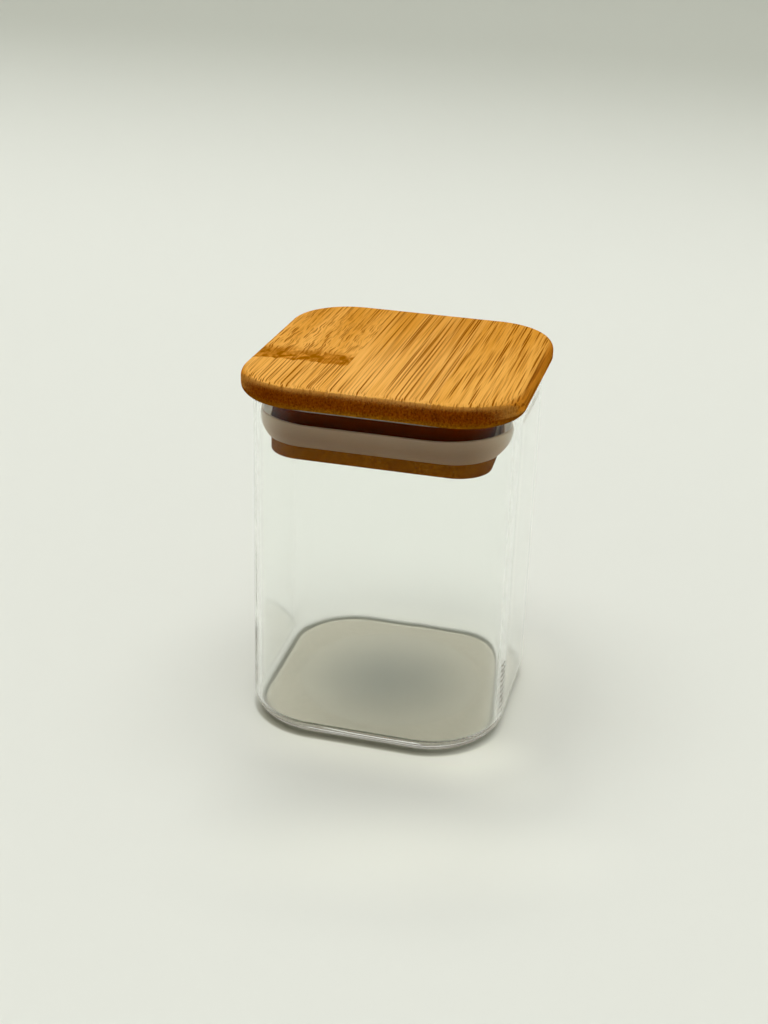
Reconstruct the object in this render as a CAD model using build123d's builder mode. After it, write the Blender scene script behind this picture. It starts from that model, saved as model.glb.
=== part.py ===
# Square glass spice jar with a push-in lid of laminated bamboo and one silicone gasket.
#
# Millimetres, +Z up. The origin is the centre of the base, where the jar stands, and the front face looks along -Y.
# The jar is one piece of glass. The lid is cut from a board of three plies, each glued up from flat bamboo strips:
# the plate that covers the rim, the neck in the mouth and the plug below it. The gasket sits in a groove round the
# plug and its skirt flares out to the glass.

import os

from build123d import *

# Driving dimensions

# Glass jar
glass_width = 65.0  # outside, across two flat faces
glass_height = 86.5
glass_corner_radius = 19.5  # outside, seen from above
wall_thickness = 1.6
corner_thinning = 0.5  # how far the inner corner radius falls short of an even wall's
floor_thickness = 2.8
heel_radius = 4.5  # outside, where a wall turns into the base
floor_fillet = 1.5  # inside, where the floor turns into a wall
rim_radius = 0.5  # both edges of the fire-polished rim
base_hollow_depth = 0.3  # shallow dish in the underside, so that the jar stands on a ring
standing_ring_width = 4.0  # between the heel and the dish, at the middle of a side

# Lid plate
plate_overhang = 1.5  # beyond the glass, on each side
plate_corner_radius = 16.0
plate_thickness = 6.0
plate_top_round = 2.5
plate_bottom_round = 2.2
plate_joint_shares = (-0.14, 0.22)  # glue lines between strips, along X, of the plate's width

# Plug: neck ply and bottom ply
plug_clearance = 4.3  # between the plug and the glass, on each side
plug_corner_radius = 8.5
plug_depth = 14.3  # below the plate
neck_ply_thickness = 7.1
plug_edge_round = 0.4
neck_joint_shares = (-0.184, 0.186)  # of the plug's width
plug_joint_shares = (-0.383, 0.075)  # of the plug's width

# Gasket
groove_depth = 1.5
groove_corner_radius = 7.0
gasket_band_height = 4.6
gasket_band_proud = 0.3  # how far the band stands out of its groove
gasket_bottom_drop = 10.6  # from the rim down to the gasket's lower edge
gasket_height = 6.6  # lower edge to lip
gasket_foot_proud = 1.1  # how far the skirt's lower edge stands out of the plug
gasket_foot_corner_radius = 11.2
skirt_root_thickness = 1.1
lip_thickness = 0.6
lip_clearance = 0.15  # between the lip and the glass
skirt_height_shares = (0.0, 0.22, 0.55, 1.0)  # of the gasket's height
skirt_reach_shares = (0.0, 0.48, 0.84, 1.0)  # of the way from the skirt's foot to its lip

# Derived sizes

# The mouth of the glass
mouth_width = glass_width - 2 * wall_thickness
mouth_corner_radius = glass_corner_radius - wall_thickness - corner_thinning

# The dish in the underside, and the ball whose cap it is
base_hollow_radius = glass_width / 2 - heel_radius - standing_ring_width
base_ball_radius = (base_hollow_radius**2 + base_hollow_depth**2) / (2 * base_hollow_depth)

# Widths of the lid: the plate follows the outside of the glass and the plug its mouth
plate_width = glass_width + 2 * plate_overhang
plug_width = mouth_width - 2 * plug_clearance

# Heights of the lid on the rim
rim_z = glass_height
ply_joint_z = rim_z - neck_ply_thickness
plug_bottom_z = rim_z - plug_depth
gasket_bottom_z = rim_z - gasket_bottom_drop

# Widths round the gasket
groove_width = plug_width - 2 * groove_depth
band_width = plug_width + 2 * gasket_band_proud
band_corner_radius = plug_corner_radius + gasket_band_proud
foot_width = plug_width + 2 * gasket_foot_proud
lip_width = mouth_width - 2 * lip_clearance
lip_corner_radius = mouth_corner_radius - lip_clearance

os.makedirs("parts", exist_ok=True)


def between(start, end, share):
    """The value that lies a share of the way from start to end."""
    return start + (end - start) * share


def write(piece, name):
    """Label a finished piece and write its STEP file."""
    piece.part.label = name
    export_step(piece.part, f"parts/{name}.step")


# Glass jar

with BuildPart() as glass_jar:
    with BuildSketch(Plane.XY):
        RectangleRounded(glass_width, glass_width, glass_corner_radius)
    extrude(amount=glass_height)
    fillet(glass_jar.faces().sort_by(Axis.Z)[0].edges(), radius=heel_radius)

    # The inside, from the floor up through the mouth
    with BuildSketch(Plane.XY.offset(floor_thickness)):
        RectangleRounded(mouth_width, mouth_width, mouth_corner_radius)
    extrude(amount=glass_height - floor_thickness, mode=Mode.SUBTRACT)
    inside_floor = glass_jar.faces().filter_by(Plane.XY).sort_by(Axis.Z)[1]
    fillet(inside_floor.edges(), radius=floor_fillet)

    # The rim, rounded on both edges
    rim = glass_jar.faces().filter_by(Plane.XY).sort_by(Axis.Z)[-1]
    fillet(rim.edges(), radius=rim_radius)

    # The shallow dish in the underside, the cap of a large ball
    with Locations((0, 0, base_hollow_depth - base_ball_radius)):
        Sphere(base_ball_radius, mode=Mode.SUBTRACT)

write(glass_jar, "glass_jar")


# Lid blanks, one for each ply of the board

with BuildPart() as plate_blank:
    with BuildSketch(Plane.XY.offset(rim_z)):
        RectangleRounded(plate_width, plate_width, plate_corner_radius)
    extrude(amount=plate_thickness)
    fillet(plate_blank.faces().sort_by(Axis.Z)[-1].edges(), radius=plate_top_round)
    fillet(plate_blank.faces().sort_by(Axis.Z)[0].edges(), radius=plate_bottom_round)

with BuildPart() as groove:
    with BuildSketch(Plane.XY.offset(gasket_bottom_z)):
        Rectangle(mouth_width, mouth_width)
        RectangleRounded(groove_width, groove_width, groove_corner_radius, mode=Mode.SUBTRACT)
    extrude(amount=gasket_band_height)

with BuildPart() as neck_blank:
    with BuildSketch(Plane.XY.offset(ply_joint_z)):
        RectangleRounded(plug_width, plug_width, plug_corner_radius)
    extrude(amount=neck_ply_thickness)
    add(groove.part, mode=Mode.SUBTRACT)

with BuildPart() as plug_blank:
    with BuildSketch(Plane.XY.offset(plug_bottom_z)):
        RectangleRounded(plug_width, plug_width, plug_corner_radius)
    extrude(amount=plug_depth - neck_ply_thickness)
    fillet(plug_blank.faces().sort_by(Axis.Z)[0].edges(), radius=plug_edge_round)
    add(groove.part, mode=Mode.SUBTRACT)


# Bamboo strips: each ply is parted at its glue lines

plies = {
    "plate": (plate_blank, plate_width, plate_joint_shares),
    "neck": (neck_blank, plug_width, neck_joint_shares),
    "plug": (plug_blank, plug_width, plug_joint_shares),
}

for ply_name, (blank, ply_width, joint_shares) in plies.items():
    left_joint, right_joint = [ply_width * share for share in joint_shares]

    with BuildPart() as left_strip:
        add(blank.part)
        split(bisect_by=Plane.YZ.offset(left_joint), keep=Keep.BOTTOM)
    write(left_strip, f"{ply_name}_strip_left")

    with BuildPart() as middle_strip:
        add(blank.part)
        split(bisect_by=Plane.YZ.offset(left_joint), keep=Keep.TOP)
        split(bisect_by=Plane.YZ.offset(right_joint), keep=Keep.BOTTOM)
    write(middle_strip, f"{ply_name}_strip_middle")

    with BuildPart() as right_strip:
        add(blank.part)
        split(bisect_by=Plane.YZ.offset(right_joint), keep=Keep.TOP)
    write(right_strip, f"{ply_name}_strip_right")


# Silicone gasket: a band in the groove and a skirt that flares out to the glass

with BuildPart() as silicone_gasket:
    # The outside of the skirt
    for height_share, reach_share in zip(skirt_height_shares, skirt_reach_shares):
        with BuildSketch(Plane.XY.offset(gasket_bottom_z + gasket_height * height_share)):
            RectangleRounded(
                between(foot_width, lip_width, reach_share),
                between(foot_width, lip_width, reach_share),
                between(gasket_foot_corner_radius, lip_corner_radius, reach_share),
            )
    loft()

    # The channel behind the skirt, whose wall thins from its root to the lip
    for height_share, reach_share in list(zip(skirt_height_shares, skirt_reach_shares))[1:]:
        thickness = between(skirt_root_thickness, lip_thickness, height_share)
        with BuildSketch(Plane.XY.offset(gasket_bottom_z + gasket_height * height_share)):
            RectangleRounded(
                between(foot_width, lip_width, reach_share) - 2 * thickness,
                between(foot_width, lip_width, reach_share) - 2 * thickness,
                between(gasket_foot_corner_radius, lip_corner_radius, reach_share) - thickness,
            )
    loft(mode=Mode.SUBTRACT)

    # The band that fills the groove
    with BuildSketch(Plane.XY.offset(gasket_bottom_z)):
        RectangleRounded(band_width, band_width, band_corner_radius)
    extrude(amount=gasket_band_height)

    # The hole that the plug fills
    with BuildSketch(Plane.XY.offset(gasket_bottom_z)):
        RectangleRounded(groove_width, groove_width, groove_corner_radius)
    extrude(amount=gasket_height, mode=Mode.SUBTRACT)

write(silicone_gasket, "silicone_gasket")
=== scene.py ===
# %% [markdown]
# A square spice jar of clear glass, closed by a push-in lid of laminated bamboo with one silicone gasket.
# The measured model comes in first, as a fixed frame. Every piece made here takes its place and size from
# that frame, so nothing has to be fitted afterwards: this script only gives each piece its finish.

# %% Load the measured model
import math

import bpy
from mathutils import Matrix, Vector


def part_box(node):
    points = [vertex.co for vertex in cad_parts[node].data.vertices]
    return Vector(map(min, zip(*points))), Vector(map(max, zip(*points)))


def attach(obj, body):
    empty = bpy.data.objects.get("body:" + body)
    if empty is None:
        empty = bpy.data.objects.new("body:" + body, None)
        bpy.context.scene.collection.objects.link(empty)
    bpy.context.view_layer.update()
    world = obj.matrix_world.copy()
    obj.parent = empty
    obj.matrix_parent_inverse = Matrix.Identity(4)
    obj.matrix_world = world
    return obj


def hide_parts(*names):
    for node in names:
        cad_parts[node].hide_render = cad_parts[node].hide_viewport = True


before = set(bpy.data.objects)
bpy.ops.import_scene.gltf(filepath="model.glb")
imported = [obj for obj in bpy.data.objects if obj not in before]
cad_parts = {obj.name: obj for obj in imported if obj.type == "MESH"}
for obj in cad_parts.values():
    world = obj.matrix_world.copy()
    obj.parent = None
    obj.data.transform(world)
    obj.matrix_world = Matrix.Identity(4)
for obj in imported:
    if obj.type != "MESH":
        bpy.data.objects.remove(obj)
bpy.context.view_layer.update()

# %% [markdown]
# Small helpers keep the node trees short. The first adds a node and fills its inputs, each with a plain
# value or with another node's output. The others make common steps: a sum, a product, a soft step, a
# length. They work in shader trees and in geometry trees alike, because both kinds share these nodes.


# %% Helpers for node trees
def add_node(tree, kind, inputs=None, **settings):
    """A new node with its settings made and its inputs filled with values or with other nodes' outputs."""
    node = tree.nodes.new(kind)
    for name, value in settings.items():
        setattr(node, name, value)
    for name, value in (inputs or {}).items():
        if isinstance(value, bpy.types.NodeSocket):
            tree.links.new(value, node.inputs[name])
        else:
            node.inputs[name].default_value = value
    return node


def sum_of(tree, operation, *values, clamp=False):
    """The output of one Math node."""
    inputs = dict(enumerate(values))
    return add_node(tree, "ShaderNodeMath", inputs, operation=operation, use_clamp=clamp).outputs[0]


def vector_of(tree, operation, *values):
    """The vector output of one Vector Math node. SCALE takes its factor as the second value."""
    inputs = dict(enumerate(values))
    if operation == "SCALE":
        inputs = {0: values[0], "Scale": values[1]}
    return add_node(tree, "ShaderNodeVectorMath", inputs, operation=operation).outputs[0]


def product(tree, *values):
    """All the values multiplied with one another."""
    total = values[0]
    for value in values[1:]:
        total = sum_of(tree, "MULTIPLY", total, value)
    return total


def soft_step(tree, value, start, end, low=0.0, high=1.0):
    """A soft step from low to high as the value goes from start to end."""
    inputs = {"Value": value, "From Min": start, "From Max": end, "To Min": low, "To Max": high}
    return add_node(tree, "ShaderNodeMapRange", inputs, interpolation_type="SMOOTHSTEP").outputs[0]


def length_across(tree, vector):
    """The length of a vector as it is seen from above."""
    flat = vector_of(tree, "MULTIPLY", vector, (1, 1, 0))
    return add_node(tree, "ShaderNodeVectorMath", {0: flat}, operation="LENGTH").outputs["Value"]


def new_material(name):
    """A material with an empty node tree, and that tree."""
    material = bpy.data.materials.new(name)
    material.use_nodes = True
    material.node_tree.nodes.clear()
    return material, material.node_tree


def new_group(name, kind, inputs, outputs):
    """A node group with named inputs and outputs, and its Group Input and Group Output nodes."""
    group = bpy.data.node_groups.new(name, kind)
    for label, socket_type, value in inputs:
        socket = group.interface.new_socket(label, in_out="INPUT", socket_type=socket_type)
        if value is not None:
            socket.default_value = value
    for label, socket_type in outputs:
        group.interface.new_socket(label, in_out="OUTPUT", socket_type=socket_type)
    return group, group.nodes.new("NodeGroupInput").outputs, group.nodes.new("NodeGroupOutput").inputs


print("helpers ready")

# %% [markdown]
# The camera stands where the photograph was taken: a little to the right, looking down at the jar, with a
# slight roll of the hand. It could be dragged into place by eye, but the jar is full of straight edges, and
# solving the picture for its perspective gave place, aim and lens as numbers. A camera looks along its own
# -Z, so `to_track_quat` turns that axis toward the aim and the roll is added as a turn about it.

# %% Camera
MM = 0.001
camera_place = Vector((82.64, -344.14, 208.66)) * MM
camera_aim = Vector((-2.70, -2.58, 50.40)) * MM
camera_roll = math.radians(1.789)
camera_lens = 53.81  # millimetres, on a frame whose long side is 36 mm

camera_data = bpy.data.cameras.new("camera")
camera_data.lens = camera_lens
camera_data.clip_start = 10 * MM
camera = bpy.data.objects.new("camera", camera_data)
bpy.context.scene.collection.objects.link(camera)
facing = (camera_aim - camera_place).to_track_quat("-Z", "Y").to_matrix()
rolled = facing @ Matrix.Rotation(camera_roll, 3, "Z")
camera.matrix_world = Matrix.Translation(camera_place) @ rolled.to_4x4()
bpy.context.scene.camera = camera
print("camera looks along", [round(value, 4) for value in -camera.matrix_world.col[2].xyz])

# %% [markdown]
# The stage is a pale table that sweeps up all round into a backdrop, as in a light tent, so that no view
# shows an edge. A plane would do for the one view of the photograph, but the jar is looked at from all
# sides. So it is one bowl: a flat disc, a cove and a wall, drawn as an outline and turned round the jar.

# %% Table and backdrop
TABLE_RADIUS = 2.6
COVE_RADIUS = 1.2
WALL_TOP = 3.0
ROUND_STEPS = 96
COVE_STEPS = 12


def turned_mesh(name, outline, steps):
    """A mesh made by turning an outline of (radius, height) pairs once round the vertical axis."""
    points, faces = [], []
    for radius, height in outline:
        for step in range(steps):
            turn = math.tau * step / steps
            points.append((radius * math.cos(turn), radius * math.sin(turn), height))
    for ring in range(len(outline) - 1):
        for step in range(steps):
            here, there = ring * steps, (ring + 1) * steps
            beside = (step + 1) % steps
            faces.append((here + step, there + step, there + beside, here + beside))
    faces.append(tuple(range(steps)))
    mesh = bpy.data.meshes.new(name)
    mesh.from_pydata(points, [], faces)
    mesh.polygons.foreach_set("use_smooth", [True] * len(mesh.polygons))
    return mesh


cove = [math.pi / 2 * step / COVE_STEPS for step in range(COVE_STEPS + 1)]
table_outline = [(TABLE_RADIUS / 8, 0), (TABLE_RADIUS / 2, 0)]
table_outline += [(TABLE_RADIUS + COVE_RADIUS * math.sin(a), COVE_RADIUS * (1 - math.cos(a))) for a in cove]
table_outline += [(TABLE_RADIUS + COVE_RADIUS, WALL_TOP)]
table = bpy.data.objects.new("table", turned_mesh("table", table_outline, ROUND_STEPS))
bpy.context.scene.collection.objects.link(table)
print("table faces:", len(table.data.polygons))

# %% [markdown]
# A glass wall bends and mirrors the light that falls on it and throws it on the table beside it: a bright
# line close to the base, brightest in front and at the right corner, and a faint patch further out. In this
# scene the light of the lamps passes straight through the glass, because a renderer hardly finds the bent
# paths, so nothing draws that line. That light is painted instead: the table glows a little there, a painted
# light. Under the front of the rounded heel the table is painted darker, a painted shade, because hardly any
# light gets in. Line and shade follow one measure: how far a point of the table lies outside the outline of
# the base, which is below zero under the jar.

# %% Light and shade on the table beside the base
BASE_STRAIGHT = 13.0 * MM  # from the middle to where the corner's arc begins
BASE_CORNER = 19.5 * MM
GLOW_TINT = (1.0, 1.0, 0.8)
LINE_GLOW, CORNER_GLOW, PATCH_GLOW = 0.225, 0.07, 0.1
CORNER_MIDDLE = (35.0 * MM, -35.0 * MM, 0)
PATCH_MIDDLE = (22.0 * MM, -71.0 * MM, 0)
PATCH_TURN = (0, 0, math.radians(16))
PATCH_SIZE = (32.0 * MM, 13.0 * MM, 1)
HEEL_SHADE = 0.7

table_paint, tree = new_material("table_paint")
place = add_node(tree, "ShaderNodeTexCoord").outputs["Object"]
spot = add_node(tree, "ShaderNodeSeparateXYZ", {0: place}).outputs
past_straight = vector_of(tree, "ABSOLUTE", place)
past_straight = vector_of(tree, "SUBTRACT", past_straight, (BASE_STRAIGHT, BASE_STRAIGHT, 0))
past_straight = vector_of(tree, "MAXIMUM", past_straight, (0, 0, 0))
from_base = sum_of(tree, "SUBTRACT", length_across(tree, past_straight), BASE_CORNER)

# painted light: a glowing line beside the base, stronger at its right corner
line = product(
    tree,
    soft_step(tree, from_base, 17.0 * MM, -3.0 * MM, 0.0, LINE_GLOW),
    soft_step(tree, spot["X"], -36.0 * MM, -4.0 * MM, 0.2, 1.0),
    soft_step(tree, spot["Y"], -12.0 * MM, -32.0 * MM, 0.45, 1.0),
)
from_corner = length_across(tree, vector_of(tree, "SUBTRACT", place, CORNER_MIDDLE))
line = sum_of(tree, "ADD", line, soft_step(tree, from_corner, 20.0 * MM, 3.0 * MM, 0.0, CORNER_GLOW))
line = product(tree, line, soft_step(tree, from_base, -1.0 * MM, 0.8 * MM))
# painted light: a faint glowing patch further out in front of the jar
patch_frame = {"Vector": place, "Location": PATCH_MIDDLE, "Rotation": PATCH_TURN, "Scale": PATCH_SIZE}
in_patch = add_node(tree, "ShaderNodeMapping", patch_frame, vector_type="TEXTURE").outputs[0]
glow = sum_of(tree, "ADD", line, soft_step(tree, length_across(tree, in_patch), 1.9, 0.1, 0.0, PATCH_GLOW))
glow = vector_of(tree, "SCALE", GLOW_TINT, glow)

# painted shade: the table under the front of the heel is painted darker
heel_shade = product(
    tree,
    soft_step(tree, from_base, -5.0 * MM, -1.5 * MM, 0.0, HEEL_SHADE),
    soft_step(tree, from_base, 0.6 * MM, -0.4 * MM),
    soft_step(tree, spot["Y"], -12.0 * MM, -29.0 * MM),
    soft_step(tree, spot["X"], 36.0 * MM, 10.0 * MM),
)
print("nodes for light and shade:", len(tree.nodes))

# %% [markdown]
# The table is painted a little darker far behind the jar, as in the photograph: a painted shade for light
# that falls off far from the lamps. The wall is seen as an even pale colour by the camera and by rays that
# come by way of the glass, while for all other rays it is plain paint. So the background stays calm and the
# glass shows it too, and no extra light falls on the jar.


# %% Paint of the table and backdrop
def seen_directly(tree):
    """One for rays from the camera or by way of a shiny or clear surface, and zero for the others."""
    path = add_node(tree, "ShaderNodeLightPath").outputs
    mirrored = sum_of(tree, "MAXIMUM", path["Is Glossy Ray"], path["Is Transmission Ray"])
    return sum_of(tree, "MAXIMUM", path["Is Camera Ray"], mirrored)


def blend(tree, factor, first, second, blend_type="MIX"):
    """One colour going over into another, or stained by it."""
    inputs = {"Factor": factor, "A": first, "B": second}
    return add_node(tree, "ShaderNodeMix", inputs, data_type="RGBA", blend_type=blend_type).outputs["Result"]


BACKDROP_COLOUR = (0.70, 0.715, 0.66, 1)
NEAR_PAINT = (0.80, 0.815, 0.762, 1)
# painted shade: the paint far behind the jar is darker, for light that falls off with distance
PAINTED_FAR_SHADE = (0.51, 0.525, 0.468, 1)
# the colour of the painted shade under the heel
SHADED_PAINT = (0.22, 0.205, 0.13, 1)
FAR_SHADE_TURNS = 0.33, 1.36  # metres behind the jar, from where to where the paint darkens

paint = blend(tree, soft_step(tree, spot["Y"], *FAR_SHADE_TURNS), NEAR_PAINT, PAINTED_FAR_SHADE)
paint = blend(tree, heel_shade, paint, SHADED_PAINT)
# the painted light goes into the table as its emission
table_skin = add_node(
    tree,
    "ShaderNodeBsdfPrincipled",
    {
        "Base Color": paint,
        "Roughness": 0.9,
        "Specular IOR Level": 0.1,
        "Emission Color": glow,
        "Emission Strength": 1.0,
    },
)
backdrop = add_node(tree, "ShaderNodeEmission", {"Color": BACKDROP_COLOUR, "Strength": 1.0})
wall_begins = {"Value": spot["Z"], "From Min": 0.01, "From Max": 0.4}
above = add_node(tree, "ShaderNodeMapRange", wall_begins).outputs[0]
seen = product(tree, above, seen_directly(tree))
both = {0: seen, 1: table_skin.outputs[0], 2: backdrop.outputs[0]}
table_mix = add_node(tree, "ShaderNodeMixShader", both)
add_node(tree, "ShaderNodeOutputMaterial", {"Surface": table_mix.outputs[0]})
table.data.materials.append(table_paint)
print("nodes in the table's paint:", len(tree.nodes))

# %% [markdown]
# Glass shows what stands round it, so its lamps are part of its look. A small lamp would draw hard bright
# spots on the rim and cast a sharp shadow. The photograph has neither: its light is a wide ceiling. One
# large panel almost straight overhead gives that, and makes the table under the lid dark and the table
# outside it bright. A smaller panel behind gives the upright edges their pale lines, and the world fills
# the shadows a little.
#
# Light that enters a glass rim runs down inside the wall in dozens of reflections before it comes out.
# Blender stops following a ray after a few, and the edge would turn black, so the limits are raised.

# %% Soft panels and a faint fill
PANEL_HEIGHT = 5.0
PANEL_SIDE = 4.7
PANEL_GLOW = 2.13  # with all lights, a surface facing up gets nine tenths of a plain white sky's light
REAR_SIDE = 0.9
REAR_GLOW = 6.5
FILL_GLOW = 0.37
FILL_TINT = (1.0, 0.98, 0.93, 1)
MOST_BOUNCES = 96


def add_panel(name, place, side, glow):
    """A square light panel that faces the jar, with its power worked out from how brightly it glows."""
    light = bpy.data.lights.new(name, "AREA")
    light.shape = "SQUARE"
    light.size = side
    light.energy = glow * math.pi * side * side
    panel = bpy.data.objects.new(name, light)
    panel.location = place
    panel.rotation_mode = "QUATERNION"
    panel.rotation_quaternion = (-Vector(place)).to_track_quat("-Z", "Y")
    bpy.context.scene.collection.objects.link(panel)
    return panel


add_panel("overhead_panel", (-0.4, 0.15, PANEL_HEIGHT), PANEL_SIDE, PANEL_GLOW)
add_panel("rear_panel", (-0.48, 2.06, 3.43), REAR_SIDE, REAR_GLOW)

world = bpy.data.worlds.new("fill")
world.use_nodes = True
tree = world.node_tree
tree.nodes.clear()
fill = add_node(tree, "ShaderNodeBackground", {"Color": FILL_TINT, "Strength": FILL_GLOW})
far = add_node(tree, "ShaderNodeBackground", {"Color": BACKDROP_COLOUR, "Strength": 1.0})
sky = add_node(tree, "ShaderNodeMixShader", {0: seen_directly(tree), 1: fill.outputs[0], 2: far.outputs[0]})
add_node(tree, "ShaderNodeOutputWorld", {"Surface": sky.outputs[0]})
bpy.context.scene.world = world
bpy.context.scene.view_settings.view_transform = "Standard"
cycles = bpy.context.scene.cycles
for limit in ("max_bounces", "transmission_bounces", "glossy_bounces"):
    setattr(cycles, limit, MOST_BOUNCES)

# %% [markdown]
# The glass follows one rule all the way round. Each level of it is a square with round corners, so three
# numbers say everything about a level: half its width, its corner radius and its height. A list of such
# levels, from the middle of the underside, up the outside, over the rim and down the inside to the middle
# of the floor, is the whole jar.
#
# It could be a cube with bevels and a Solidify modifier, but then the wall is even and the corners of the
# floor pinch. Here Geometry Nodes turn the list into the skin: a grid with one row for each level and one
# column for each step round the square, whose points are then moved to where they belong. The same tree
# makes the gasket from its own list. Because the points come from a rule, the glass also gets the faint
# swell of blown glass in the same step.

# %% The inputs of a tree that skins a list of square levels
CORNER_STEPS = 44
SIDE_STEPS = 14

tree, given, result = new_group(
    "level_skin",
    "GeometryNodeTree",
    [
        ("Levels", "NodeSocketGeometry", None),
        ("Corner Steps", "NodeSocketInt", CORNER_STEPS),
        ("Side Steps", "NodeSocketInt", SIDE_STEPS),
        ("Ripple Height", "NodeSocketFloat", 0.0),
        ("Ripple Density", "NodeSocketFloat", 40.0),
        ("Ripple From", "NodeSocketFloat", 0.0),
        ("Ripple Low", "NodeSocketFloat", 0.0),
        ("Ripple High", "NodeSocketFloat", 1.0),
        ("Material", "NodeSocketMaterial", None),
        ("Foot From", "NodeSocketFloat", -1.0),
        ("Foot To", "NodeSocketFloat", -1.0),
        ("Foot Material", "NodeSocketMaterial", None),
    ],
    [("Skin", "NodeSocketGeometry")],
)
LEVEL_SKIN = tree
print("inputs of the skin tree:", [name for name in given.keys() if name])

# %% [markdown]
# The levels come in as the points of a line, whose X, Y and Z are half width, corner radius and height.
# Blender numbers the points of a grid column by column. So a point's number tells its column and its level,
# and with the level it reads its three measures from the line.

# %% The grid, and the measures of each point's level
size = add_node(tree, "GeometryNodeAttributeDomainSize", {0: given["Levels"]}, component="MESH")
level_count = size.outputs["Point Count"]
quarter = sum_of(tree, "ADD", given["Corner Steps"], given["Side Steps"])
round_count = sum_of(tree, "ADD", product(tree, quarter, 4), 1)
grid = add_node(tree, "GeometryNodeMeshGrid", {"Vertices X": round_count, "Vertices Y": level_count})

index = add_node(tree, "GeometryNodeInputIndex").outputs[0]
column = sum_of(tree, "FLOOR", sum_of(tree, "DIVIDE", sum_of(tree, "ADD", index, 0.5), level_count))
level = sum_of(tree, "SUBTRACT", index, product(tree, column, level_count))
position = add_node(tree, "GeometryNodeInputPosition").outputs[0]
asked = {"Geometry": given["Levels"], "Value": position, "Index": level}
sampled = add_node(tree, "GeometryNodeSampleIndex", asked, data_type="FLOAT_VECTOR").outputs["Value"]
measures = add_node(tree, "ShaderNodeSeparateXYZ", {0: sampled}).outputs
print("nodes for the grid:", len(tree.nodes))

# %% [markdown]
# In each quarter of the way round, the columns first turn about the corner and then run along the side. The
# corner's arc has its middle on the diagonal. A point lies one corner radius from that middle, in the
# direction that it faces.


# %% Where each point goes
def pointing(tree, quarter_turns):
    """A unit vector after so many quarter turns from +X."""
    angle = product(tree, quarter_turns, math.pi / 2)
    parts = {"X": sum_of(tree, "COSINE", angle), "Y": sum_of(tree, "SINE", angle)}
    return add_node(tree, "ShaderNodeCombineXYZ", parts).outputs[0]


turn_number = sum_of(tree, "FLOOR", sum_of(tree, "DIVIDE", sum_of(tree, "ADD", column, 0.5), quarter))
step = sum_of(tree, "SUBTRACT", column, product(tree, turn_number, quarter))
corner_share = sum_of(tree, "DIVIDE", step, given["Corner Steps"], clamp=True)
past_corner = sum_of(tree, "SUBTRACT", step, given["Corner Steps"])
side_share = sum_of(tree, "DIVIDE", past_corner, given["Side Steps"], clamp=True)

arc = pointing(tree, sum_of(tree, "ADD", turn_number, corner_share))
this_corner = pointing(tree, sum_of(tree, "ADD", turn_number, 0.5))
next_corner = pointing(tree, sum_of(tree, "ADD", turn_number, 1.5))
along_side = {"Factor": side_share, "A": this_corner, "B": next_corner}
corner = add_node(tree, "ShaderNodeMix", along_side, data_type="VECTOR").outputs["Result"]
reach = product(tree, sum_of(tree, "SUBTRACT", measures["X"], measures["Y"]), math.sqrt(2))
arc_middle = vector_of(tree, "SCALE", corner, reach)
flat = vector_of(tree, "ADD", arc_middle, vector_of(tree, "SCALE", arc, measures["Y"]))
lifted = add_node(tree, "ShaderNodeCombineXYZ", {"Z": measures["Z"]}).outputs[0]
placed = vector_of(tree, "ADD", flat, lifted)
print("nodes with the places:", len(tree.nodes))

# %% [markdown]
# Blown glass is never quite even: its inner side swells and thins by a few hundredths of a millimetre.
# Smooth noise does that, and a piece whose ripple height is zero stays even. The wanted faces then get a
# mark, by which they take a second material. At the end the seam of the grid is closed and everything is
# made real.

# %% The ripple, the materials and the end of the tree
CLOSE_GAP = 1e-7
RIPPLE_STRETCH = (1, 1, 0.35)

ripple_place = vector_of(tree, "MULTIPLY", placed, RIPPLE_STRETCH)
waves = {"Vector": ripple_place, "Scale": given["Ripple Density"], "Detail": 1.0}
ripple = add_node(tree, "ShaderNodeTexNoise", waves).outputs[0]
inside = sum_of(tree, "GREATER_THAN", level, given["Ripple From"])
swell = product(tree, sum_of(tree, "SUBTRACT", ripple, 0.5), given["Ripple Height"])
wall = soft_step(tree, measures["Z"], given["Ripple Low"], given["Ripple High"])
shift = vector_of(tree, "SCALE", arc, product(tree, swell, inside, wall))
moved = {"Geometry": grid.outputs["Mesh"], "Position": vector_of(tree, "ADD", placed, shift)}
skin = add_node(tree, "GeometryNodeSetPosition", moved).outputs[0]

on_points = {"domain": "POINT", "data_type": "FLOAT"}
face_level = add_node(tree, "GeometryNodeFieldOnDomain", {"Value": level}, **on_points).outputs[0]
above_from = sum_of(tree, "GREATER_THAN", face_level, given["Foot From"])
in_foot = product(tree, above_from, sum_of(tree, "LESS_THAN", face_level, given["Foot To"]))
mark = {"Geometry": skin, "Name": "foot", "Value": in_foot}
skin = add_node(tree, "GeometryNodeStoreNamedAttribute", mark, domain="FACE", data_type="FLOAT").outputs[0]
skin = add_node(tree, "GeometryNodeMergeByDistance", {"Geometry": skin, "Distance": CLOSE_GAP}).outputs[0]
skin = add_node(tree, "GeometryNodeSetShadeSmooth", {"Geometry": skin}).outputs[0]
skin = add_node(tree, "GeometryNodeRealizeInstances", {"Geometry": skin}).outputs[0]
skin = add_node(tree, "GeometryNodeSetMaterial", {"Geometry": skin, "Material": given["Material"]}).outputs[0]
foot = add_node(tree, "GeometryNodeInputNamedAttribute", {"Name": "foot"}, data_type="FLOAT").outputs[0]
second = {"Geometry": skin, "Selection": foot, "Material": given["Foot Material"]}
skin = add_node(tree, "GeometryNodeSetMaterial", second).outputs[0]
tree.links.new(skin, result["Skin"])
print("nodes in the skin tree:", len(tree.nodes))

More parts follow.
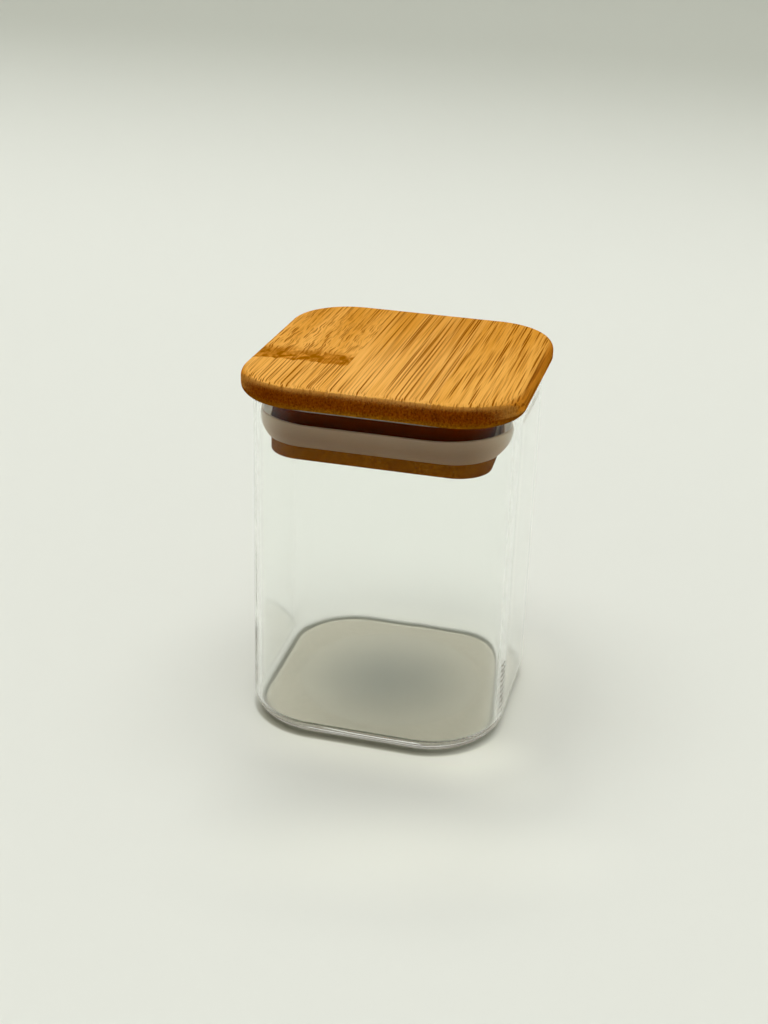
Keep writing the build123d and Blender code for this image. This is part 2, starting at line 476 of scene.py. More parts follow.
# %% [markdown]
# The list of levels is drawn in millimetres, one by one and by arcs, the way a pattern maker draws half a
# section. A helper hangs the tree on the list, sets the tree's inputs by their identifiers and turns the
# result into a plain mesh, so that no live modifier is left when the piece is handed to the frame.


# %% Helpers that draw levels and skin them
def arc_levels(width, radius, height, size, start, end, steps):
    """Levels along an arc of a section, whose centre has this half width, corner radius and height."""
    levels = []
    for step in range(steps + 1):
        angle = math.radians(start + (end - start) * step / steps)
        out = size * math.cos(angle)
        levels.append((width + out, radius + out, height + size * math.sin(angle)))
    return levels


def run_levels(start, end, steps):
    """Levels in even steps after start, up to and with end."""
    return [tuple(a + (b - a) * step / steps for a, b in zip(start, end)) for step in range(1, steps + 1)]


def skin_levels(name, levels, material, **inputs):
    """A finished piece whose mesh is the skin of a list of levels, given in millimetres."""
    line = bpy.data.meshes.new(name)
    edges = [(i, i + 1) for i in range(len(levels) - 1)]
    line.from_pydata([Vector(level) * MM for level in levels], edges, [])
    drawn = bpy.data.objects.new(name + "_levels", line)
    bpy.context.scene.collection.objects.link(drawn)
    modifier = drawn.modifiers.new("skin", "NODES")
    modifier.node_group = LEVEL_SKIN
    items = [item for item in LEVEL_SKIN.interface.items_tree if item.in_out == "INPUT"]
    sockets = {item.name: item.identifier for item in items}
    for label, value in {"Material": material, **inputs}.items():
        modifier[sockets[label]] = value
    seen = drawn.evaluated_get(bpy.context.evaluated_depsgraph_get())
    mesh = bpy.data.meshes.new_from_object(seen)
    bpy.data.objects.remove(drawn)
    mesh.name = name
    piece = bpy.data.objects.new(name, mesh)
    bpy.context.scene.collection.objects.link(piece)
    return piece


def volume_of(mesh):
    """The volume of a closed mesh in cubic centimetres. It is below zero if the faces point inwards."""
    mesh.calc_loop_triangles()
    total = 0.0
    for triangle in mesh.loop_triangles:
        a, b, c = [mesh.vertices[i].co for i in triangle.vertices]
        total += a.dot(b.cross(c)) / 6
    return total * 1e6


print("level helpers ready")

# %% [markdown]
# The real jar is blown into a mould: flat sides, a round heel, a thin floor that rises a little in the
# middle of the underside, and a rim that is melted round in a flame. All of these bend light, so each is
# drawn with many levels. The outside measures are read from the frame, and the rest are the measures that
# the solid was built from.

# %% Measures of the glass
lowest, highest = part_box("glass_jar")
glass_half = highest.x / MM
glass_top = highest.z / MM
GLASS_CORNER = 19.5
GLASS_WALL = 1.6
INNER_CORNER = 17.4
GLASS_FLOOR = 2.8
HEEL = 4.5
FLOOR_FILLET = 1.5
RIM_ROUND = 0.5
DISH_RADIUS = 24.0
DISH_DEPTH = 0.3
print("glass, mm:", round(2 * glass_half, 2), "wide and", round(glass_top, 2), "high")

# %% [markdown]
# The curved heel will get a glass of its own, so the list also says between which levels it lies. The first
# steps of its arc still lie almost flat on the table and are left to the plain glass.

# %% Levels of the glass
DISH_STEPS = 8
RING_STEPS = 3
ARC_STEPS = 14
WALL_STEPS = 24
RIM_STEPS = 8
FLOOR_STEPS = 6
LAST_STEPS = 4
FLAT_HEEL_STEPS = 2.4


def glass_levels():
    """Levels of the jar, from the middle of the underside up, over the rim and down to the floor's middle."""
    levels = []
    for step in range(DISH_STEPS + 1):
        radius = DISH_RADIUS * step / DISH_STEPS
        levels.append((radius, radius, DISH_DEPTH * (1 - (radius / DISH_RADIUS) ** 2) ** 2))
    foot = glass_half - HEEL, GLASS_CORNER - HEEL
    levels += run_levels(levels[-1], (*foot, 0.0), RING_STEPS)
    heel_from = len(levels) + FLAT_HEEL_STEPS
    levels += arc_levels(*foot, HEEL, HEEL, -90, 0, ARC_STEPS)[1:]
    heel_to = float(len(levels))
    rim_low = glass_top - RIM_ROUND
    levels += run_levels(levels[-1], (glass_half, GLASS_CORNER, rim_low), WALL_STEPS)
    rim = glass_half - RIM_ROUND, GLASS_CORNER - RIM_ROUND
    levels += arc_levels(*rim, rim_low, RIM_ROUND, 0, 90, RIM_STEPS)[1:]
    outside = float(len(levels))
    inner = glass_half - GLASS_WALL, INNER_CORNER
    lip = inner[0] + RIM_ROUND, inner[1] + RIM_ROUND
    levels += arc_levels(*lip, rim_low, RIM_ROUND, 90, 180, RIM_STEPS)
    fillet_top = GLASS_FLOOR + FLOOR_FILLET
    levels += run_levels(levels[-1], (*inner, fillet_top), WALL_STEPS)
    edge = inner[0] - FLOOR_FILLET, inner[1] - FLOOR_FILLET
    levels += arc_levels(*edge, fillet_top, FLOOR_FILLET, 0, -90, ARC_STEPS)[1:]
    levels += run_levels(levels[-1], (edge[0] - edge[1], 0.0, GLASS_FLOOR), FLOOR_STEPS)
    levels += run_levels(levels[-1], (0.0, 0.0, GLASS_FLOOR), LAST_STEPS)
    return levels, (heel_from, heel_to), outside


levels, heel_span, outside = glass_levels()
print("glass levels:", len(levels), "heel between", heel_span, "inside from", outside)

# %% [markdown]
# Clear glass is the Principled shader with full transmission and the refraction of borosilicate. By itself
# it would make the table under the jar far too dark, because light from a lamp reaches it only along bent
# paths that are hard to find. The usual remedy is used: rays that carry light to the lamps pass straight
# through, as through a thin window, and camera rays are bent as in real glass. The walls let almost all
# light pass and the floor less, least in the middle, where the lid keeps the light away. That gives the
# grey patch that the photograph shows under the jar. The curved heel gathers light instead of passing it
# on, so it has a setting of its own.

# %% Clear glass
GLASS_IOR = 1.47
SHADE_MIDDLE = Vector((-1.0, -0.5, 0.0)) * MM
SHADE_REACH = 30.0 * MM
FLOOR_FACES = 0.7  # a face whose normal stands steeper than this belongs to a floor


def clear_glass(name, wall_passes, middle_passes, floor_passes):
    """Borosilicate glass. Rays from lamps pass straight through it, so the table under the jar is lit."""
    material, tree = new_material(name)
    glass = add_node(
        tree,
        "ShaderNodeBsdfPrincipled",
        {
            "Base Color": (0.99, 1.0, 0.99, 1),
            "Roughness": 0.0,
            "IOR": GLASS_IOR,
            "Transmission Weight": 1.0,
            "Specular Tint": (0.02, 0.02, 0.02, 1),
        },
    )
    place = add_node(tree, "ShaderNodeTexCoord").outputs["Object"]
    off_middle = length_across(tree, vector_of(tree, "SUBTRACT", place, SHADE_MIDDLE))
    outer = soft_step(tree, off_middle, 0.0, SHADE_REACH)
    floor_tone = blend(tree, outer, (*middle_passes, 1), (*floor_passes, 1))
    normal = add_node(tree, "ShaderNodeNewGeometry").outputs["Normal"]
    steep = sum_of(tree, "ABSOLUTE", add_node(tree, "ShaderNodeSeparateXYZ", {0: normal}).outputs["Z"])
    is_floor = sum_of(tree, "GREATER_THAN", steep, FLOOR_FACES)
    passes = blend(tree, is_floor, (*wall_passes, 1), floor_tone)
    passed = add_node(tree, "ShaderNodeBsdfTransparent", {"Color": passes})
    path = add_node(tree, "ShaderNodeLightPath").outputs
    lit = sum_of(tree, "MAXIMUM", path["Is Shadow Ray"], path["Is Diffuse Ray"])
    mixed = add_node(tree, "ShaderNodeMixShader", {0: lit, 1: glass.outputs[0], 2: passed.outputs[0]})
    add_node(tree, "ShaderNodeOutputMaterial", {"Surface": mixed.outputs[0]})
    return material


jar_glass = clear_glass("clear_glass", (0.98, 0.98, 0.975), (0.71, 0.71, 0.68), (0.90, 0.875, 0.815))
heel_glass = clear_glass("clear_glass_foot", (0.65, 0.65, 0.6), (0.25, 0.25, 0.22), (0.25, 0.25, 0.22))
print("nodes in the glass:", len(jar_glass.node_tree.nodes))

# %% [markdown]
# The glass is then skinned. Its ripple is only 0.025 mm high and fades out toward the floor, because there
# even a small wave would bend the edge of the grey patch. The new piece rides on the jar's body and stands
# for the solid.

# %% The glass vessel
heel = {"Foot From": heel_span[0], "Foot To": heel_span[1], "Foot Material": heel_glass}
ripple = {
    "Ripple Height": 0.025 * MM,
    "Ripple Density": 55.0,
    "Ripple From": outside,
    "Ripple Low": 5.0 * MM,
    "Ripple High": 20.0 * MM,
}
vessel = skin_levels("glass_vessel", levels, jar_glass, **heel, **ripple)
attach(vessel, "jar")
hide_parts("glass_jar")
print("glass faces:", len(vessel.data.polygons), "volume, cm3:", round(volume_of(vessel.data), 2))

# %% [markdown]
# Bamboo has no rings. Its colour comes from thin dark bundles of fibre that run the whole length of the
# strip in a paler ground. Cut along, as on top of this lid, they are long tapered dashes; cut across, as on
# its front and back, they are dots, and the open pores drink the oil, so that end is far darker. One cloud
# of stretched cells in space gives both: a slice along it shows dashes and a slice across it shows dots. At
# a node of the cane the bundles bend and tangle, which makes the dark blotchy bar and the mottled stretch
# behind it on the left strip.
#
# All strips share this pattern, so it is a node group, built in the next cells. Each strip then has its own
# place in the cloud, its own tone and its own length of dash.

# %% The inputs of the bamboo group
tree, given, result = new_group(
    "bamboo_fibre",
    "ShaderNodeTree",
    [
        ("Shift", "NodeSocketVector", (0, 0, 0)),
        ("Pitch", "NodeSocketFloat", 0.48),
        ("Dash Length", "NodeSocketFloat", 60.0),
        ("Fibre Depth", "NodeSocketFloat", 1.0),
        ("Pale", "NodeSocketColor", (0.93, 0.485, 0.12, 1)),
        ("Deep", "NodeSocketColor", (0.68, 0.29, 0.032, 1)),
        ("Fibre", "NodeSocketColor", (0.27, 0.08, 0.0, 1)),
        ("Stain Place", "NodeSocketFloat", 0.0),
        ("Stain Strength", "NodeSocketFloat", 0.0),
        ("End Low", "NodeSocketColor", (0.26, 0.18, 0.08, 1)),
        ("End High", "NodeSocketColor", (0.26, 0.18, 0.08, 1)),
        ("End Low Height", "NodeSocketFloat", 0.0),
        ("End High Height", "NodeSocketFloat", 1.0),
        ("Node Place", "NodeSocketFloat", 0.0),
        ("Node Strength", "NodeSocketFloat", 0.0),
        ("Side End Share", "NodeSocketFloat", 0.26),
    ],
    [("Color", "NodeSocketColor"), ("Roughness", "NodeSocketFloat"), ("Height", "NodeSocketFloat")],
)
BAMBOO = tree
print("inputs of the bamboo group:", [name for name in given.keys() if name])

# %% [markdown]
# Smooth noise, stretched along the fibres, gives bands and threads. Voronoi cells, stretched the same way,
# give the bundles: each cell is one bundle, dark near its middle, and its random colour says how dark it
# is. All measures are in millimetres, and the fibres run along Y.


# %% Noise and bundles
def noise(tree, vector, stretch, detail=1.0):
    """Smooth noise about zero, with a number of waves to the millimetre along each axis."""
    scaled = vector_of(tree, "MULTIPLY", vector, stretch)
    node = add_node(tree, "ShaderNodeTexNoise", {"Vector": scaled, "Scale": 1.0, "Detail": detail})
    return sum_of(tree, "SUBTRACT", node.outputs[0], 0.5)


def bundles(tree, vector, pitch, length, wide):
    """Dark dashes in cells of the given pitch and length, each with its own strength."""
    parts = {"X": pitch, "Y": length, "Z": product(tree, pitch, 2.0)}
    cell = add_node(tree, "ShaderNodeCombineXYZ", parts).outputs[0]
    scaled = vector_of(tree, "DIVIDE", vector, cell)
    node = add_node(tree, "ShaderNodeTexVoronoi", {"Vector": scaled, "Scale": 1.0})
    own = add_node(tree, "ShaderNodeSeparateColor", {0: node.outputs["Color"]}).outputs[0]
    inside = soft_step(tree, node.outputs["Distance"], wide, wide * 0.55)
    return product(tree, inside, sum_of(tree, "MULTIPLY_ADD", own, 0.75, 0.35))


def across_fibres(tree, push):
    """A vector that pushes the pattern sideways."""
    return add_node(tree, "ShaderNodeCombineXYZ", {"X": push, "Z": push}).outputs[0]


measured = vector_of(tree, "SCALE", add_node(tree, "ShaderNodeTexCoord").outputs["Object"], 1 / MM)
spot = add_node(tree, "ShaderNodeSeparateXYZ", {0: measured}).outputs
place = vector_of(tree, "ADD", measured, given["Shift"])
print("nodes for the place:", len(tree.nodes))

# %% [markdown]
# The fibres of a real strip are never quite straight, so the cloud of cells sways a little. Long dashes and
# finer hairs lie in it. Behind the node of the cane, on its +Y side, the bundles bend and tangle, and short
# pushed dashes take the place of the long ones.

# %% The dashes
SWAY_WAVES, SWAY = (0.07, 0.012, 0.07), 0.7
TANGLE_WAVES, TANGLE_PUSH = (0.3, 0.2, 0.3), 1.3
TANGLE_RISE, TANGLE_FALL = (-4.0, 3.0), (44.0, 20.0)  # millimetres past the node
LONG_WIDE = 0.52
HAIR_SHIFT = (9.0, 4.0, 5.0)
HAIR_PITCH, HAIR_SHARE, HAIR_WIDE, HAIR_DEPTH = 0.33, 0.5, 0.4, 0.4
SHORT_PITCH, SHORT_LENGTH, SHORT_WIDE, SHORT_DEPTH = 0.46, 7.5, 0.55, 0.8

sway = product(tree, noise(tree, place, SWAY_WAVES), SWAY)
swayed = vector_of(tree, "ADD", place, across_fibres(tree, sway))
past_node = sum_of(tree, "SUBTRACT", spot["Y"], given["Node Place"])
tangled = product(
    tree,
    soft_step(tree, past_node, *TANGLE_RISE),
    soft_step(tree, past_node, *TANGLE_FALL),
    given["Node Strength"],
)
aside = across_fibres(tree, product(tree, noise(tree, place, TANGLE_WAVES), TANGLE_PUSH))

long_dashes = bundles(tree, swayed, given["Pitch"], given["Dash Length"], LONG_WIDE)
hair_place = vector_of(tree, "ADD", swayed, HAIR_SHIFT)
hairs = bundles(tree, hair_place, HAIR_PITCH, product(tree, given["Dash Length"], HAIR_SHARE), HAIR_WIDE)
long_dashes = sum_of(tree, "MAXIMUM", long_dashes, product(tree, hairs, HAIR_DEPTH))
short_dashes = bundles(tree, vector_of(tree, "ADD", swayed, aside), SHORT_PITCH, SHORT_LENGTH, SHORT_WIDE)
short_dashes = product(tree, short_dashes, SHORT_DEPTH)
dark = add_node(tree, "ShaderNodeMix", {"Factor": tangled, "A": long_dashes, "B": short_dashes}).outputs[0]
print("nodes with the dashes:", len(tree.nodes))

# %% [markdown]
# End grain shows where the surface turns to face along the fibres, so the surface's own direction tells it.
# How far it faces along Y counts in full, and how far it faces sideways counts as much as the strip's
# setting for its sides says. Undersides count too, a painted shade on faces turned down, which keeps the
# lid's lower edge as dark as in the photograph. Fine threads make the border ragged, as oil creeps up single
# bundles. The mask rises in two steps, a slow one and a sharp one.

# %% The mask of the end grain
THREAD_WAVES, RAGGED = (3.6, 0.06, 3.6), 0.3
SLOW_RISE = (0.64, 1.0, 0.0, 0.45)
SHARP_RISE = (0.57, 0.66, 0.0, 0.55)

fine = noise(tree, swayed, THREAD_WAVES, 2.0)
normal = add_node(tree, "ShaderNodeNewGeometry").outputs["Normal"]
facing = add_node(tree, "ShaderNodeSeparateXYZ", {0: normal}).outputs
sideways = sum_of(tree, "ABSOLUTE", facing["X"])
# faces turned sideways count toward the darker end tones, as much as the strip's setting for its sides says
across = sum_of(tree, "MULTIPLY_ADD", sideways, given["Side End Share"], product(tree, fine, RAGGED))
across = sum_of(tree, "ADD", sum_of(tree, "ABSOLUTE", facing["Y"]), across)
# painted shade: faces turned down count as end grain and take its darker tones
across = sum_of(tree, "ADD", across, soft_step(tree, facing["Z"], 0.0, -0.5))
end = sum_of(tree, "ADD", soft_step(tree, across, *SLOW_RISE), soft_step(tree, across, *SHARP_RISE))
print("nodes with the mask:", len(tree.nodes))

# %% [markdown]
# The ground is a mix of a pale and a deep tone in wide bands, with fine threads, and it gets paler toward
# the front. A strip may have a broad stain along its fibres, stronger toward the back, where its bundles
# are darker as well. The dashes are laid over it, and on end grain they show less.

# %% The ground tone, the stain and the dashes over them
BAND_WAVES, BAND_DEPTH = (0.22, 0.012, 0.22), 1.3
THREAD_DEPTH = 1.5
PALER_IN_FRONT = (30.0, -24.0, 0.2, 0.85)
STAIN_COLOUR = (0.50, 0.19, 0.012, 1)
STAIN_SIDES, STAIN_ALONG = (7.5, 1.0), (-14.0, 24.0)
STAIN_SHOWS, STAIN_DEEPENS = 0.3, 0.5

toward_front = soft_step(tree, spot["Y"], *PALER_IN_FRONT)
tone = sum_of(tree, "MULTIPLY_ADD", noise(tree, swayed, BAND_WAVES), BAND_DEPTH, toward_front)
tone = sum_of(tree, "MULTIPLY_ADD", fine, THREAD_DEPTH, tone, clamp=True)
wood = blend(tree, tone, given["Deep"], given["Pale"])

off_stain = sum_of(tree, "ABSOLUTE", sum_of(tree, "SUBTRACT", spot["X"], given["Stain Place"]))
stain = product(
    tree,
    soft_step(tree, off_stain, *STAIN_SIDES),
    soft_step(tree, spot["Y"], *STAIN_ALONG),
    given["Stain Strength"],
)
wood = blend(tree, product(tree, stain, STAIN_SHOWS), wood, STAIN_COLOUR)
depth = sum_of(tree, "MULTIPLY_ADD", stain, STAIN_DEEPENS, given["Fibre Depth"])
depth = product(tree, depth, soft_step(tree, end, 1.0, 0.0, 0.3, 1.0))
wood = blend(tree, sum_of(tree, "MULTIPLY", dark, depth, clamp=True), wood, given["Fibre"])
print("nodes with the ground:", len(tree.nodes))

# %% [markdown]
# The node itself is a blotchy bar across the strip, with a sharp side and a soft side. Noise makes its
# sides ragged, and rings of bent cells and blotches make its knotted look.

# %% The node of the cane
BAR_TINT = (0.84, 0.7, 0.4, 1)
KNOT_COLOUR = (0.31, 0.1, 0.0, 1)
SHARP_SIDE, SOFT_SIDE = (-4.8, -4.0), (7.0, -1.0)
SIDE_WAVES, SIDE_RAGGED = (0.45, 0.2, 0.45), 4.5
SCALE_SIZE = (2.6, 4.2, 2.6)
RING_RADIUS, RING_FADE = 0.42, (0.3, 0.02, 0.0, 0.5)
BLOTCH_WAVES, BLOTCH_RISE = (0.62, 0.42, 0.62), (-0.12, 0.14, 0.05, 0.8)

ragged = sum_of(tree, "MULTIPLY_ADD", noise(tree, place, SIDE_WAVES, 2.0), SIDE_RAGGED, past_node)
bar = product(tree, soft_step(tree, ragged, *SHARP_SIDE), soft_step(tree, ragged, *SOFT_SIDE))
bent = vector_of(tree, "ADD", place, vector_of(tree, "SCALE", aside, 1.4))
bent = vector_of(tree, "DIVIDE", bent, SCALE_SIZE)
scales = add_node(tree, "ShaderNodeTexVoronoi", {"Vector": bent, "Scale": 1.0})
rings = sum_of(tree, "ABSOLUTE", sum_of(tree, "SUBTRACT", scales.outputs["Distance"], RING_RADIUS))
blotch = soft_step(tree, noise(tree, place, BLOTCH_WAVES, 2.0), *BLOTCH_RISE)
blotch = sum_of(tree, "ADD", soft_step(tree, rings, *RING_FADE), blotch)
knot = sum_of(tree, "MULTIPLY", product(tree, bar, blotch), given["Node Strength"], clamp=True)
wood = blend(tree, product(tree, bar, given["Node Strength"]), wood, BAR_TINT, "MULTIPLY")
wood = blend(tree, knot, wood, KNOT_COLOUR)
print("nodes with the cane's node:", len(tree.nodes))

# %% [markdown]
# The rounded sides along the fibres, which face left and right, take a deeper tint. On end grain the wood
# is soaked: it takes the end tones, which go from a low to a high one over the strip's height, its pores are
# dark dots, and single threads drink more than others. On the plate that change over the height is painted
# light and shade: the lower band paler, as if lit from the table below, and the upper band darker.
#
# The group puts out the colour and two more values. End grain is rougher than the rest, and the dashes lie
# a little deeper than the ground between them.

# %% Sides, soaked ends and what the group puts out
SIDE_TINT = (0.68, 0.5, 0.2, 1)
PORE_TINT = (0.68, 0.52, 0.36, 1)
PORE_PITCH, PORE_LENGTH, PORE_WIDE = 0.36, 60.0, 0.6
THIRST_WAVES, THIRST = (2.4, 0.06, 2.4), 1.4
SANDED_ROUGH, END_ROUGHER = 0.55, 0.22
DASH_HEIGHT = -0.6

# the faces turned left and right get a deeper tint
side = product(tree, soft_step(tree, sideways, 0.35, 0.85), soft_step(tree, end, 0.8, 0.1))
wood = blend(tree, side, wood, SIDE_TINT, "MULTIPLY")
pores = bundles(tree, swayed, PORE_PITCH, PORE_LENGTH, PORE_WIDE)
# painted light and shade: the end tone changes with height, paler low and darker high
risen = soft_step(tree, spot["Z"], given["End Low Height"], given["End High Height"])
soaked = blend(tree, 1.0, wood, blend(tree, risen, given["End Low"], given["End High"]), "MULTIPLY")
soaked = blend(tree, pores, soaked, PORE_TINT, "MULTIPLY")
thirst = sum_of(tree, "MULTIPLY_ADD", noise(tree, swayed, THIRST_WAVES), THIRST, 1.0)
soaked = vector_of(tree, "SCALE", soaked, thirst)
tree.links.new(blend(tree, end, wood, soaked), result["Color"])

rough = sum_of(tree, "MULTIPLY_ADD", fine, 0.3, SANDED_ROUGH)
tree.links.new(sum_of(tree, "MULTIPLY_ADD", end, END_ROUGHER, rough), result["Roughness"])
tree.links.new(sum_of(tree, "MULTIPLY_ADD", dark, DASH_HEIGHT, fine), result["Height"])
print("nodes in the bamboo group:", len(tree.nodes))

# %% [markdown]
# Every strip of the lid is a piece of the measured model and keeps its shape. It only gets a material. The
# plate's strips are oiled and polished, with the node on the left one, a streak of dark fibres along the
# middle one and shorter dashes on the right one. The end grain of the neck and the plug has drunk more oil
# and stays in the shade. The neck's end tones are far darker than the plate's: partly that oil, partly a
# painted shade for the deep shade under the plate.

# %% Bamboo on each strip
# the plate's end tones: paler low and darker high, painted light and shade over its height
PLATE_ENDS = {
    "End Low": (0.27, 0.20, 0.035, 1),
    "End High": (0.20, 0.088, 0.006, 1),
    "End Low Height": 87.0,
    "End High Height": 89.0,
}
# the neck's end tones: oiled end grain, and a painted shade as well
NECK_ENDS = {"End Low": (0.14, 0.03, 0.0, 1), "End High": (0.14, 0.03, 0.0, 1), "Side End Share": 1.0}
PLUG_ENDS = {"End Low": (0.215, 0.14, 0.026, 1), "End High": (0.215, 0.14, 0.026, 1), "Side End Share": 1.0}
LEFT_LOOK = {"Pale": (0.90, 0.455, 0.10, 1), "Node Place": -11.0, "Node Strength": 1.0}
STAINED = {"Stain Place": 9.0, "Stain Strength": 1.0}
RIGHT_LOOK = {"Pale": (0.88, 0.44, 0.09, 1)}
STRIPS = {
    "plate_strip_left": {"Shift": (0, 0, 0), "Dash Length": 34.0, **LEFT_LOOK, **PLATE_ENDS},
    "plate_strip_middle": {"Shift": (31, 7, 3), "Dash Length": 60.0, **STAINED, **PLATE_ENDS},
    "plate_strip_right": {"Shift": (57, -23, 8), "Dash Length": 26.0, **RIGHT_LOOK, **PLATE_ENDS},
    "neck_strip_left": {"Shift": (12, 40, 21), **NECK_ENDS},
    "neck_strip_middle": {"Shift": (77, 12, 33), **NECK_ENDS},
    "neck_strip_right": {"Shift": (5, 63, 45), **NECK_ENDS},
    "plug_strip_left": {"Shift": (91, 5, 52), **PLUG_ENDS},
    "plug_strip_middle": {"Shift": (44, 71, 66), **PLUG_ENDS},
    "plug_strip_right": {"Shift": (23, 88, 74), **PLUG_ENDS},
}


def bamboo(name, **values):
    """Oiled bamboo with one strip's own place in the pattern."""
    material, tree = new_material("bamboo_" + name)
    grain = add_node(tree, "ShaderNodeGroup", values, node_tree=BAMBOO).outputs
    relief = {"Height": grain["Height"], "Strength": 0.5, "Distance": 0.06 * MM}
    wood = add_node(
        tree,
        "ShaderNodeBsdfPrincipled",
        {
            "Base Color": grain["Color"],
            "Roughness": grain["Roughness"],
            "Specular IOR Level": 0.0,
            "Normal": add_node(tree, "ShaderNodeBump", relief).outputs[0],
        },
    )
    add_node(tree, "ShaderNodeOutputMaterial", {"Surface": wood.outputs[0]})
    return material


for name, values in STRIPS.items():
    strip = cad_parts[name]
    strip.data.materials.clear()
    strip.data.materials.append(bamboo(name, **values))
print("strips finished:", len(STRIPS))

# %% [markdown]
# The gasket is moulded silicone: a band that sits in the plug's groove and a thin skirt that flares up and
# out to the glass. Its section is one closed loop, so the same tree that skinned the glass skins it from a
# list of levels that ends where it began. A loft between a few outlines would show kinks, so the skirt
# follows one smooth curve through the outlines that the solid has.

# %% Measures of the gasket
lowest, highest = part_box("silicone_gasket")
gasket_low = lowest.z / MM
lip_high = highest.z / MM
lip_half = highest.x / MM
gasket_tall = lip_high - gasket_low
LIP_CORNER = 17.25
FOOT_HALF = 27.7
FOOT_CORNER = 11.2
BAND_HALF = 26.9
BAND_CORNER = 8.8
BAND_HEIGHT = 4.6
GROOVE_HALF = 25.1
GROOVE_CORNER = 7.0
SKIRT_ROOT = 1.1
LIP_THICK = 0.6
SOFT_EDGE = 0.25
CHANNEL_FLOOR = 0.24  # share of the height
SKIRT_CURVE = [(0.0, 0.0), (0.22, 0.48), (0.55, 0.84), (1.0, 1.0)]  # height share, reach share


def skirt_reach(share):
    """How far out the skirt is at a share of its height, on a smooth line through the curve's points."""
    heights = [point[0] for point in SKIRT_CURVE]
    reaches = [point[1] for point in SKIRT_CURVE]
    total = 0.0
    for i, reach in enumerate(reaches):
        weight = 1.0
        for j, height in enumerate(heights):
            if j != i:
                weight *= (share - height) / (heights[i] - height)
        total += weight * reach
    return total


def skirt_level(share, inward):
    """The level of the skirt at a share of its height, moved inward by so much."""
    reach = skirt_reach(share)
    width = FOOT_HALF + (lip_half - FOOT_HALF) * reach - inward
    corner = FOOT_CORNER + (LIP_CORNER - FOOT_CORNER) * reach - inward
    return width, corner, gasket_low + gasket_tall * share


print("skirt half way up, mm:", [round(value, 2) for value in skirt_level(0.5, 0.0)])

# %% [markdown]
# The loop starts under the band, goes up the outside of the skirt and over the round lip, and comes down
# the inside, where the skirt gets thicker toward its root. From the channel it goes up the band and back
# through the groove.

# %% Levels of the gasket
UNDER_STEPS = 4
SKIRT_STEPS = 26
LIP_STEPS = 8
CHANNEL_STEPS = 18
SHORT_RUN, BAND_RUN, EDGE_STEPS = 3, 5, 4


def gasket_levels():
    """Levels round the gasket's section, as one closed loop."""
    start = (GROOVE_HALF, GROOVE_CORNER, gasket_low)
    foot = (FOOT_HALF - SOFT_EDGE, FOOT_CORNER - SOFT_EDGE, gasket_low)
    levels = [start] + run_levels(start, foot, UNDER_STEPS)
    low_share = SOFT_EDGE / gasket_tall
    lip_share = 1 - LIP_THICK / 2 / gasket_tall
    for step in range(SKIRT_STEPS + 1):
        levels.append(skirt_level(low_share + (lip_share - low_share) * step / SKIRT_STEPS, 0.0))
    levels += arc_levels(*skirt_level(lip_share, LIP_THICK / 2), LIP_THICK / 2, 0, 180, LIP_STEPS)[1:]
    for step in range(1, CHANNEL_STEPS + 1):
        share = lip_share + (CHANNEL_FLOOR - lip_share) * step / CHANNEL_STEPS
        levels.append(skirt_level(share, SKIRT_ROOT + (LIP_THICK - SKIRT_ROOT) * share))
    band_top = gasket_low + BAND_HEIGHT
    levels += run_levels(levels[-1], (BAND_HALF, BAND_CORNER, levels[-1][2]), SHORT_RUN)
    levels += run_levels(levels[-1], (BAND_HALF, BAND_CORNER, band_top - SOFT_EDGE), BAND_RUN)
    edge = BAND_HALF - SOFT_EDGE, BAND_CORNER - SOFT_EDGE
    levels += arc_levels(*edge, band_top - SOFT_EDGE, SOFT_EDGE, 0, 90, EDGE_STEPS)[1:]
    levels += run_levels(levels[-1], (GROOVE_HALF, GROOVE_CORNER, band_top), SHORT_RUN)
    levels += run_levels(levels[-1], start, UNDER_STEPS)
    return levels


levels = gasket_levels()
print("gasket levels:", len(levels))

# %% [markdown]
# Milky silicone lets light in and spreads it, so it gets subsurface scattering. Over the dark neck it looks
# brown and toward the ends, where the light of the table comes through, it turns pale. These tones are
# painted: a mask along X and one up the skirt mix a brown tone of painted shade with a pale tone of painted
# light, and the inner side of the skirt is painted palest, a painted light for the light that comes through
# the lip.

# %% Milky silicone
# painted shade and painted light: a shaded brown, a lit pale tone and the lit inner side
SHADED_BROWN_TONE = (0.19, 0.112, 0.065, 1)
LIT_PALE_TONE = (0.52, 0.385, 0.265, 1)
LIT_TONE = (0.97, 0.93, 0.86, 1)
DARK_MIDDLE = 1.5 * MM  # along X, where the photograph shows the gasket darkest


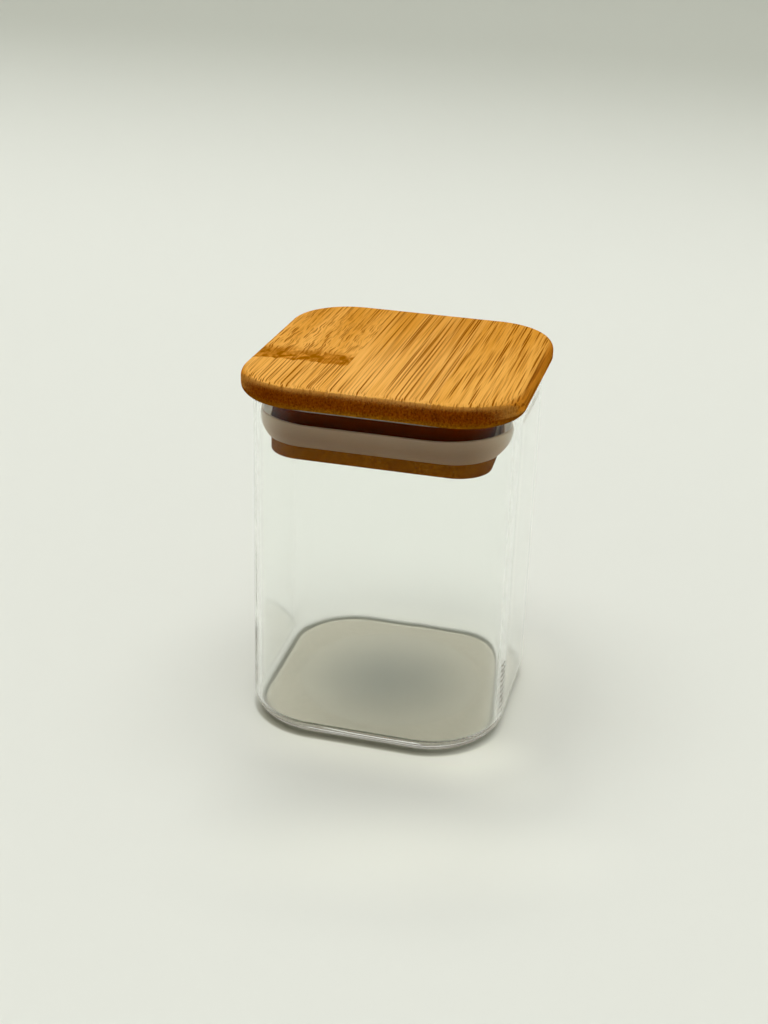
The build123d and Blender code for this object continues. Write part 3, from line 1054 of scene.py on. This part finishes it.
def silicone():
    """Milky food-grade silicone with a faint dusting."""
    material, tree = new_material("silicone")
    place = add_node(tree, "ShaderNodeTexCoord").outputs["Object"]
    cloud = add_node(tree, "ShaderNodeTexNoise", {"Vector": place, "Scale": 90.0, "Detail": 3.0}).outputs[0]
    grain = add_node(tree, "ShaderNodeTexNoise", {"Vector": place, "Scale": 2600.0, "Detail": 2.0}).outputs[0]
    spot = add_node(tree, "ShaderNodeSeparateXYZ", {0: place}).outputs
    off_middle = sum_of(tree, "ABSOLUTE", sum_of(tree, "SUBTRACT", spot["X"], DARK_MIDDLE))
    toward_end = soft_step(tree, off_middle, 20.0 * MM, 32.0 * MM, 0.0, 0.8)
    toward_lip = soft_step(tree, spot["Z"], (gasket_low + 2.5) * MM, lip_high * MM)
    paler = sum_of(tree, "MULTIPLY_ADD", toward_lip, 0.25, toward_end)
    paler = sum_of(tree, "MULTIPLY_ADD", cloud, 0.2, paler)

    # How far the surface faces away from the jar's axis. Below zero it faces the plug
    normal = add_node(tree, "ShaderNodeNewGeometry").outputs["Normal"]
    from_axis = vector_of(tree, "NORMALIZE", vector_of(tree, "MULTIPLY", place, (1, 1, 0)))
    both = {0: normal, 1: from_axis}
    outward = add_node(tree, "ShaderNodeVectorMath", both, operation="DOT_PRODUCT").outputs["Value"]
    turned_in = {"Value": outward, "From Min": 0.0, "From Max": -0.4}
    inner = add_node(tree, "ShaderNodeMapRange", turned_in).outputs[0]
    # the painted tones: shade in the middle, light toward the ends, the lip and the inner side
    colour = blend(tree, inner, blend(tree, paler, SHADED_BROWN_TONE, LIT_PALE_TONE), LIT_TONE)
    relief = {"Height": grain, "Strength": 0.3, "Distance": 0.02 * MM}
    rubber = add_node(
        tree,
        "ShaderNodeBsdfPrincipled",
        {
            "Base Color": colour,
            "Roughness": sum_of(tree, "MULTIPLY_ADD", cloud, 0.25, 0.34),
            "Subsurface Weight": 1.0,
            "Subsurface Radius": (1.0, 0.85, 0.7),
            "Subsurface Scale": 4.0 * MM,
            "Specular IOR Level": 0.45,
            "Normal": add_node(tree, "ShaderNodeBump", relief).outputs[0],
        },
    )
    add_node(tree, "ShaderNodeOutputMaterial", {"Surface": rubber.outputs[0]})
    return material


milky = silicone()
print("nodes in the silicone:", len(milky.node_tree.nodes))

# %% [markdown]
# The gasket is skinned by the same tree as the glass, with no ripple, and rides on the lid.

# %% The gasket ring
gasket = skin_levels("gasket_ring", levels, milky)
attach(gasket, "lid")
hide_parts("silicone_gasket")
print("gasket faces:", len(gasket.data.polygons), "volume, cm3:", round(volume_of(gasket.data), 3))
